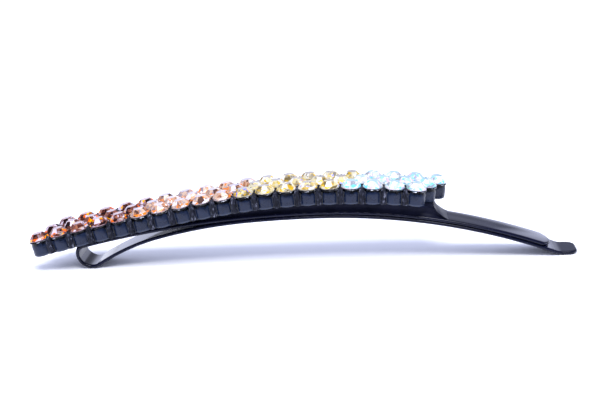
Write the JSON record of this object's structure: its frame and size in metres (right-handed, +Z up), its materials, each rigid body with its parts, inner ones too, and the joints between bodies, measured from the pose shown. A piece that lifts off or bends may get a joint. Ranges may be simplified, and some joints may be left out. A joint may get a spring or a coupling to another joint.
{
  "type": "jewelled bobby pin",
  "caption": "Black enamelled hair pin, one spring strip bent into two legs, with staggered rows of cut stones in a cast setting bedded on its upper leg.",
  "frame": {"origin": "on the surface the pin rests on, under the middle of its bounding box", "axes": "+X along the pin from the loop to the tab, +Y across the strip, +Z up through the stones"},
  "size_m": [0.072, 0.0076, 0.0111],
  "materials": {
    "enamel": "glossy black enamel on spring steel",
    "casting": "black plated casting, smooth cups with rough pillars",
    "adhesive": "black cured adhesive",
    "brown_stone": "cut and polished, foiled back, smoky topaz",
    "peach_stone": "cut and polished, foiled back, light peach",
    "yellow_stone": "cut and polished, foiled back, pale yellow",
    "aurora_stone": "cut and polished, foiled back, iridescent clear"
  },
  "bodies": {
    "clip": {"upper_leg": "enamel", "spring_loop": "enamel", "stone_setting": "casting", "adhesive_bed": "adhesive", "brown_stones_1": "brown_stone", "brown_stones_2": "brown_stone", "brown_stones_3": "brown_stone", "brown_stones_4": "brown_stone", "brown_stones_5": "brown_stone", "peach_stones_1": "peach_stone", "peach_stones_2": "peach_stone", "peach_stones_3": "peach_stone", "peach_stones_4": "peach_stone", "peach_stones_5": "peach_stone", "yellow_stones_1": "yellow_stone", "yellow_stones_2": "yellow_stone", "yellow_stones_3": "yellow_stone", "yellow_stones_4": "yellow_stone", "yellow_stones_5": "yellow_stone", "aurora_stones_1": "aurora_stone", "aurora_stones_2": "aurora_stone", "aurora_stones_3": "aurora_stone", "aurora_stones_4": "aurora_stone"},
    "lower": {"lower_leg": "enamel"}
  },
  "joints": [
    {"name": "leg_spread", "type": "hinge", "parent": "clip", "child": "lower", "pos_m": [-0.0284, 0, 0.00217], "axis": [0, 1, 0], "range_deg": [0, 10], "stiffness_Nm_per_rad": 0.1, "springref_deg": -22.92, "deforming": ["spring_loop"]}
  ]
}
